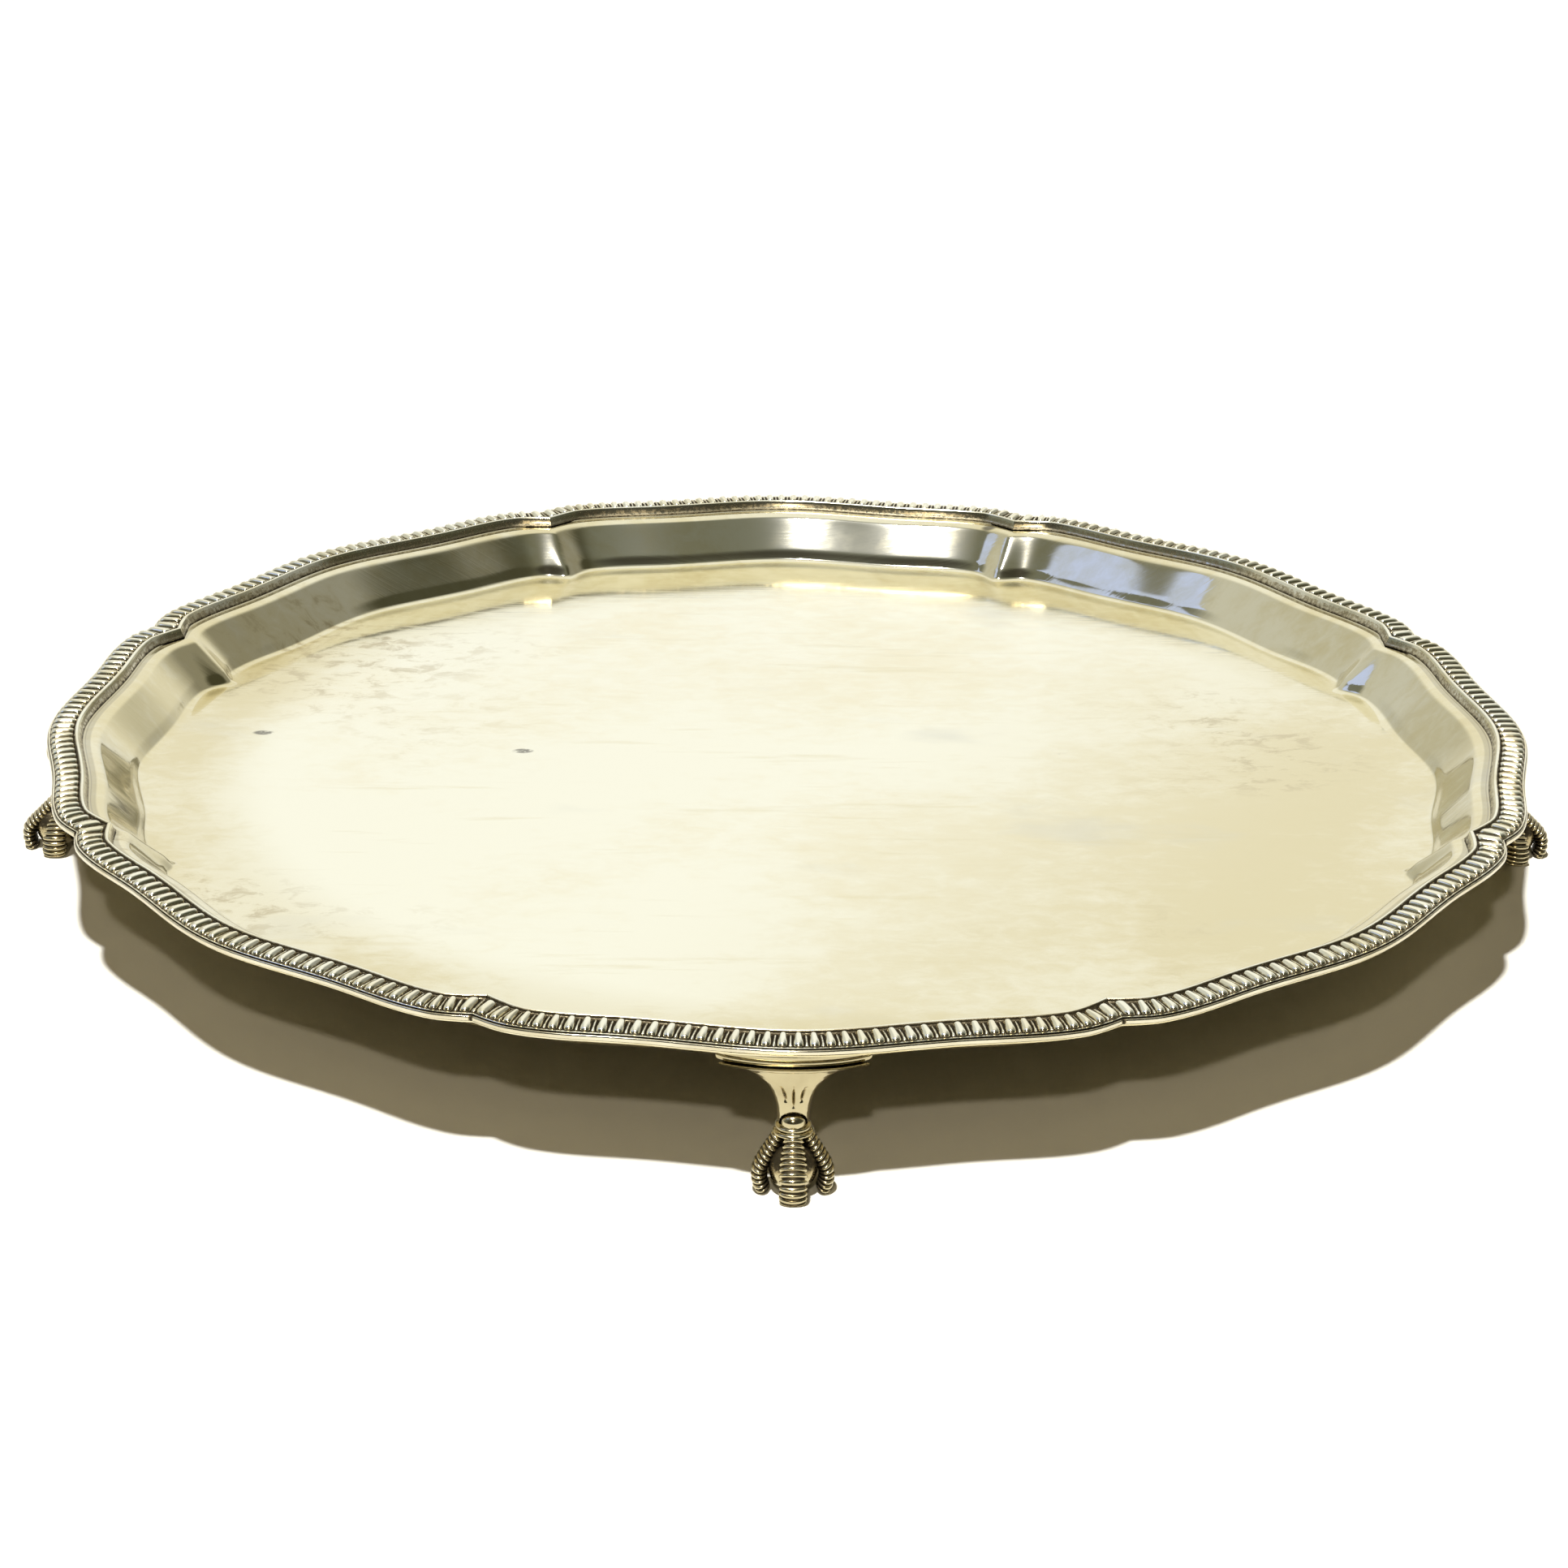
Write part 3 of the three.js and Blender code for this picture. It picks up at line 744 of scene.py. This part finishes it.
def build_claw(quarter):
    """One claw: a stack of rounded ribs along a curve that grips the ball, flat where it meets the table."""
    turn = quarter * math.pi / 2
    out, shift, z = CLAW_STATIONS.T
    path = np.stack([out * math.sin(turn), -out * math.cos(turn) - shift, z], 1)
    end_share = 1.0 if quarter == 0 else 0.965
    share = np.linspace(0, end_share, CLAW_RIBS * RIB_STEPS + 1)
    line = curve_through(path, share)
    along = np.gradient(line, axis=0)
    along /= np.linalg.norm(along, axis=1)[:, None]
    across = np.array([math.cos(turn), math.sin(turn), 0.0])
    outward = np.cross(across, along)
    outward /= np.linalg.norm(outward, axis=1)[:, None]
    phase = np.abs(((np.arange(len(share)) / RIB_STEPS) % 1) * 2 - 1)
    rib = np.sqrt(np.clip(1 - (phase / 0.70) ** 2, 0, 1))
    taper = np.sqrt(np.clip(1 - np.clip((share / end_share - 0.93) / 0.07, 0, 1) ** 2, 0.02, 1))
    grow = smooth(share / 0.5)
    half_width = (2.35 + 1.05 * grow) * (0.80 + 0.20 * rib) * (0.45 + 0.55 * taper)
    half_depth = (1.4 + 0.1 * grow + 0.50 * rib) * (0.3 + 0.7 * taper)
    a = np.linspace(0, 2 * np.pi, 29)[:-1][:, None]
    points = (line[None] + across * (half_width * np.cos(a))[..., None]
              + outward[None] * (half_depth * np.sin(a))[..., None])
    points[..., 2] = np.maximum(points[..., 2], 0)
    # painted shade, with oxide, between the ribs; painted shade on the side that faces the ball
    dark = np.clip(1.25 - 1.35 * rib, 0, 1)[None, :] + 0 * a
    inner = smooth((np.sin(a) + 0.15) / 0.6)
    dark = np.maximum(dark, 0.95 * inner)
    columns, rows = points.shape[:2]
    faces = grid_faces(columns, rows, True, False)
    faces.append([i * rows for i in reversed(range(columns))])
    faces.append([i * rows + rows - 1 for i in range(columns)])
    return points.reshape(-1, 3), faces, dark.ravel()


def build_pad():
    """The lens-shaped pad under the flange: two tiers with a fine groove between them."""
    half = (PAD_HIGH.x - PAD_LOW.x) / 2
    outer, inner = -(PAD_LOW.y + LEG_RADIUS), -(PAD_HIGH.y + LEG_RADIUS)
    middle, deep = (outer + inner) / 2, (outer - inner) / 2
    low, high = PAD_LOW.z, PAD_HIGH.z + PAD_RISE
    profile = [
        (1.3, low), (0.35, low), (0.12, low + 0.1), (0.0, low + 0.35), (0.0, low + 0.95), (0.1, low + 1.15),
        (0.34, low + 1.25), (0.4, low + 1.33), (0.34, low + 1.42), (0.12, low + 1.5), (0.02, low + 1.68),
        (0.02, low + 2.1), (0.12, high), (1.3, high),
    ]
    # painted shade under the pad and on its top under the flange; oxide and painted shade in the groove
    # between its tiers
    dark = [0.9, 0.8, 0.3, 0, 0, 0.1, 0.8, 1.0, 0.8, 0.1, 0, 0, 0.3, 0.6]
    t = np.linspace(0, 2 * np.pi, 161)[:-1]
    turn = t - 0.3 * np.sin(2 * t)
    inset = np.array([p[0] for p in profile])[None, :]
    side = np.sin(turn)[:, None]
    x = (half - 1.6 * inset) * np.cos(turn)[:, None]
    y = -(middle + (deep - inset) * np.sign(side) * np.abs(side) ** 1.5)
    z = np.array([p[1] for p in profile])[None, :] + 0 * x
    points = np.stack([x, y, z], -1)
    columns, rows = x.shape
    faces = grid_faces(columns, rows, True, False)
    faces.append([i * rows for i in reversed(range(columns))])
    faces.append([i * rows + rows - 1 for i in range(columns)])
    return points.reshape(-1, 3), faces, (np.array(dark)[None, :] + 0 * x).ravel()


def build_ball():
    across, around = np.linspace(0, np.pi, 49)[1:-1], np.linspace(0, 2 * np.pi, 81)[:-1]
    a, u = np.meshgrid(around, across, indexing="ij")
    uneven = 0.03 * np.sin(3 * a + 1) + 0.02 * np.cos(5 * u + 2 * a)
    radius = BALL_RADIUS + uneven * np.sin(u) ** 2
    directions = np.stack([np.sin(u) * np.cos(a), np.sin(u) * np.sin(a), np.cos(u)], -1)
    points = radius[..., None] * directions + np.array(BALL_CENTRE)
    columns, rows = a.shape
    faces = [f[::-1] for f in grid_faces(columns, rows, True, False)]
    faces.append([i * rows for i in range(columns)])
    faces.append([i * rows + rows - 1 for i in reversed(range(columns))])
    # partly tarnish all over; darker on the upper half: painted shade and a painted dark reflection
    dark = 0.32 + 0.6 * smooth((points[..., 2] - BALL_CENTRE.z + 1.0) / 3.5)
    return points.reshape(-1, 3), faces, dark.ravel()


def outward_faces(points, faces):
    """The faces, turned over if they enclose a negative volume."""
    p = np.asarray(points)
    volume = 0.0
    for f in faces:
        for i in range(1, len(f) - 1):
            volume += np.dot(p[f[0]], np.cross(p[f[i]], p[f[i + 1]]))
    return faces if volume > 0 else [f[::-1] for f in faces]


def closed_piece(name, part, material):
    """One closed body as an object."""
    points, faces, dark = part
    return make_piece(name, points, outward_faces(points, faces), dark, material)


def united(name, parts, material):
    """Closed bodies joined into one by boolean unions."""
    pieces = [closed_piece(f"{name}_{i}", part, material) for i, part in enumerate(parts)]
    for other in pieces[1:]:
        join = pieces[0].modifiers.new("join", "BOOLEAN")
        join.operation = "UNION"
        join.solver = "MANIFOLD"
        join.object = other
    view = bpy.context.evaluated_depsgraph_get()
    mesh = bpy.data.meshes.new_from_object(pieces[0].evaluated_get(view))
    for piece in pieces:
        bpy.data.objects.remove(piece)
    mesh.polygons.foreach_set("use_smooth", [True] * len(mesh.polygons))
    mesh.set_sharp_from_angle(angle=math.radians(50))
    return mesh


def place_mesh(name, mesh, degrees):
    """A copy of a foot's mesh at its place under the rim."""
    made = mesh.copy()
    made.name = name
    aside = FRONT_FOOT_ASIDE if degrees == PLACES["front"] else 0
    spot = Matrix.Translation((aside * MM, -LEG_RADIUS * MM, 0))
    made.transform(Matrix.Rotation(math.radians(degrees), 4, "Z") @ spot)
    piece = bpy.data.objects.new(name, made)
    bpy.context.scene.collection.objects.link(piece)
    return piece


def closed_mesh(name, part, material):
    """One closed body as a mesh."""
    piece = closed_piece(name, part, material)
    mesh = piece.data
    bpy.data.objects.remove(piece)
    return mesh


def build_feet(material):
    """The four feet. The pads are shaded like the legs, although the slot of their solids is the sheet's."""
    leg = united("leg", [build_column(), build_knuckle(), *(build_claw(q) for q in range(4))], material)
    ball = closed_mesh("ball", build_ball(), material)
    pad = closed_mesh("pad", build_pad(), material)
    for place, degrees in PLACES.items():
        settle(place_mesh(f"claw_leg_{place}", leg, degrees), f"foot_leg_{place}")
        settle(place_mesh(f"gripped_ball_{place}", ball, degrees), f"foot_ball_{place}")
        settle(place_mesh(f"leg_pad_{place}", pad, degrees), f"foot_pad_{place}")


# ------------------------------------------------------------------ camera, floor and light
def build_camera():
    """At the photo's viewing angle, aimed near the middle of the rim; distances in metres."""
    DISTANCE = 1.1768
    ELEVATION, ROLL, TURN = math.radians(22.19), math.radians(-0.68), math.radians(0.85)
    ASIDE, LIFT = 0.0011275, 0.0138785
    back = Vector((0, -math.cos(ELEVATION), math.sin(ELEVATION)))
    up = Vector((0, math.sin(ELEVATION), math.cos(ELEVATION)))
    right = Vector((1, 0, 0))
    data = bpy.data.cameras.new("camera")
    data.sensor_width = 36.0
    data.lens = 96.5
    data.clip_start, data.clip_end = 0.01, 50
    camera = bpy.data.objects.new("camera", data)
    bpy.context.scene.collection.objects.link(camera)
    axes = Matrix((right, up, back)).transposed().to_4x4()
    spot = back * DISTANCE - right * ASIDE - up * LIFT + Vector((0, 0, RIM_Z * MM))
    pose = Matrix.Translation(spot) @ axes @ Matrix.Rotation(-ROLL, 4, "Z")
    camera.matrix_world = Matrix.Rotation(-TURN, 4, "Z") @ pose
    bpy.context.scene.camera = camera


def build_floor():
    """A plain pale floor, a hair below the feet so that it doesn't share their faces."""
    HALF, DROP = 12.0, -2e-5
    mesh = bpy.data.meshes.new("floor")
    corners = [(x * HALF, y * HALF, DROP) for x, y in ((-1, -1), (1, -1), (1, 1), (-1, 1))]
    mesh.from_pydata(corners, [], [(0, 1, 2, 3)])
    n = Nodes("pale_floor")
    n.shader.inputs["Base Color"].default_value = (0.70, 0.69, 0.64, 1)
    n.shader.inputs["Roughness"].default_value = 0.9
    n.shader.inputs["Specular IOR Level"].default_value = 0.0
    mesh.materials.append(n.material)
    floor = bpy.data.objects.new("floor", mesh)
    bpy.context.scene.collection.objects.link(floor)


def lamp(name, spot, aim, power, colour, size):
    data = bpy.data.lights.new(name, "AREA")
    data.shape = "DISK"
    data.size = size
    data.energy = power
    data.color = colour
    light = bpy.data.objects.new(name, data)
    light.location = spot
    light.rotation_euler = (Vector(spot) - Vector(aim)).to_track_quat("Z", "Y").to_euler()
    bpy.context.scene.collection.objects.link(light)


def distant_lamp(name, towards, strength, colour, degrees):
    data = bpy.data.lights.new(name, "SUN")
    data.energy = strength
    data.color = colour
    data.angle = math.radians(degrees)
    light = bpy.data.objects.new(name, data)
    light.rotation_euler = Vector(towards).to_track_quat("Z", "Y").to_euler()
    bpy.context.scene.collection.objects.link(light)


BACKDROP = (1.02, 1.02, 0.98)
FILL = (0.058, 0.044, 0.009)
CEILING = (0.185, 0.195, 0.165)
CEILING_RIGHT = (0.070, 0.070, 0.046)
BEHIND_CAMERA = (0.05, 0.048, 0.036)
WINDOW = (0.62, 0.74, 1.25)


def build_light():
    distant_lamp("overhead", (-0.30, -0.63, 2.60), 5.2, (1.0, 0.985, 0.96), 3.1)
    lamp("behind_camera", (-0.20, -2.70, 2.20), (0, 0, 0), 26, (1.0, 0.87, 0.66), 0.16)
    build_world()


def build_world():
    """The room in reflections, a plain fill after a diffuse bounce, and a plain backdrop for the camera."""
    world = bpy.data.worlds.new("studio")
    bpy.context.scene.world = world
    world.use_nodes = True
    world.node_tree.nodes.clear()
    g = Graph(world.node_tree)

    def glow(colour):
        made = g.node("ShaderNodeBackground")
        g.link((*colour, 1) if isinstance(colour, tuple) else colour, made.inputs["Color"])
        return made.outputs[0]

    def choose(share, a, b):
        made = g.node("ShaderNodeMixShader")
        for value, socket in zip((share, a, b), made.inputs):
            g.link(value, socket)
        return made.outputs[0]

    path = g.node("ShaderNodeLightPath").outputs
    bounced = g.maths("GREATER_THAN", path["Diffuse Depth"], 0.5)
    around = choose(bounced, glow(room(g)), glow(FILL))
    seen = choose(path["Is Camera Ray"], around, glow(BACKDROP))
    g.link(seen, g.node("ShaderNodeOutputWorld").inputs["Surface"])


def room(g):
    """The room by direction: white ahead, dark above and behind, with a bluish window high at the left."""
    parts = g.node("ShaderNodeSeparateXYZ")
    g.link(g.node("ShaderNodeTexCoord").outputs["Generated"], parts.inputs[0])
    right, ahead, up = (parts.outputs[axis] for axis in "XYZ")
    backdrop = g.maths("MULTIPLY", g.ranged(ahead, -0.12, 0.24), g.ranged(up, 0.05, 0.30, 0.82, 1.0))
    slanted = g.maths("ADD", right, g.maths("MULTIPLY", up, 0.35))
    backdrop = g.maths("MULTIPLY", backdrop, g.ranged(slanted, 0.46, 0.86, 1.0, 0.26))
    backdrop = g.maths("MULTIPLY", backdrop, g.ranged(right, -0.50, -0.15, 0.54, 1.0))
    ceiling = g.blend(g.ranged(right, 0.25, 0.65), CEILING, CEILING_RIGHT)
    ceiling = g.blend(g.ranged(ahead, -0.62, -0.34), BEHIND_CAMERA, ceiling)
    window = g.maths("MULTIPLY", g.ranged(up, 0.655, 0.67), g.ranged(up, 0.83, 0.845, 1, 0))
    window = g.maths("MULTIPLY", window, g.ranged(ahead, -0.22, -0.20))
    window = g.maths("MULTIPLY", window, g.ranged(ahead, 0.12, 0.14, 1, 0))
    window = g.maths("MULTIPLY", window, g.ranged(right, -0.47, -0.42, 1, 0))
    seen = g.blend(backdrop, ceiling, BACKDROP)
    return g.blend(window, seen, WINDOW)


# ------------------------------------------------------------------ the salver
build_camera()
sheet = sheet_silver()
cast = cast_silver("cast_silver", SILVER, CREAM, 0.35, 0.14)
wire = cast_silver("wire_silver", (0.80, 0.765, 0.62), (0.66, 0.615, 0.465), 0.25, 0.12)
# foot silver: a darker copy of the cast silver, partly tarnish and partly painted shade of the feet under the
# rim
foot = cast_silver("foot_silver", (0.58, 0.52, 0.34), (0.43, 0.37, 0.225), 0.15, 0.16)
settle(build_tray(sheet), "tray")
for number in range(LOBES):
    settle(build_border(number, cast), f"border_length_{number + 1}")
    settle(build_wire(number, wire), f"edge_wire_{number + 1}")
build_feet(foot)
build_floor()
build_light()
bpy.context.scene.view_settings.view_transform = "Standard"
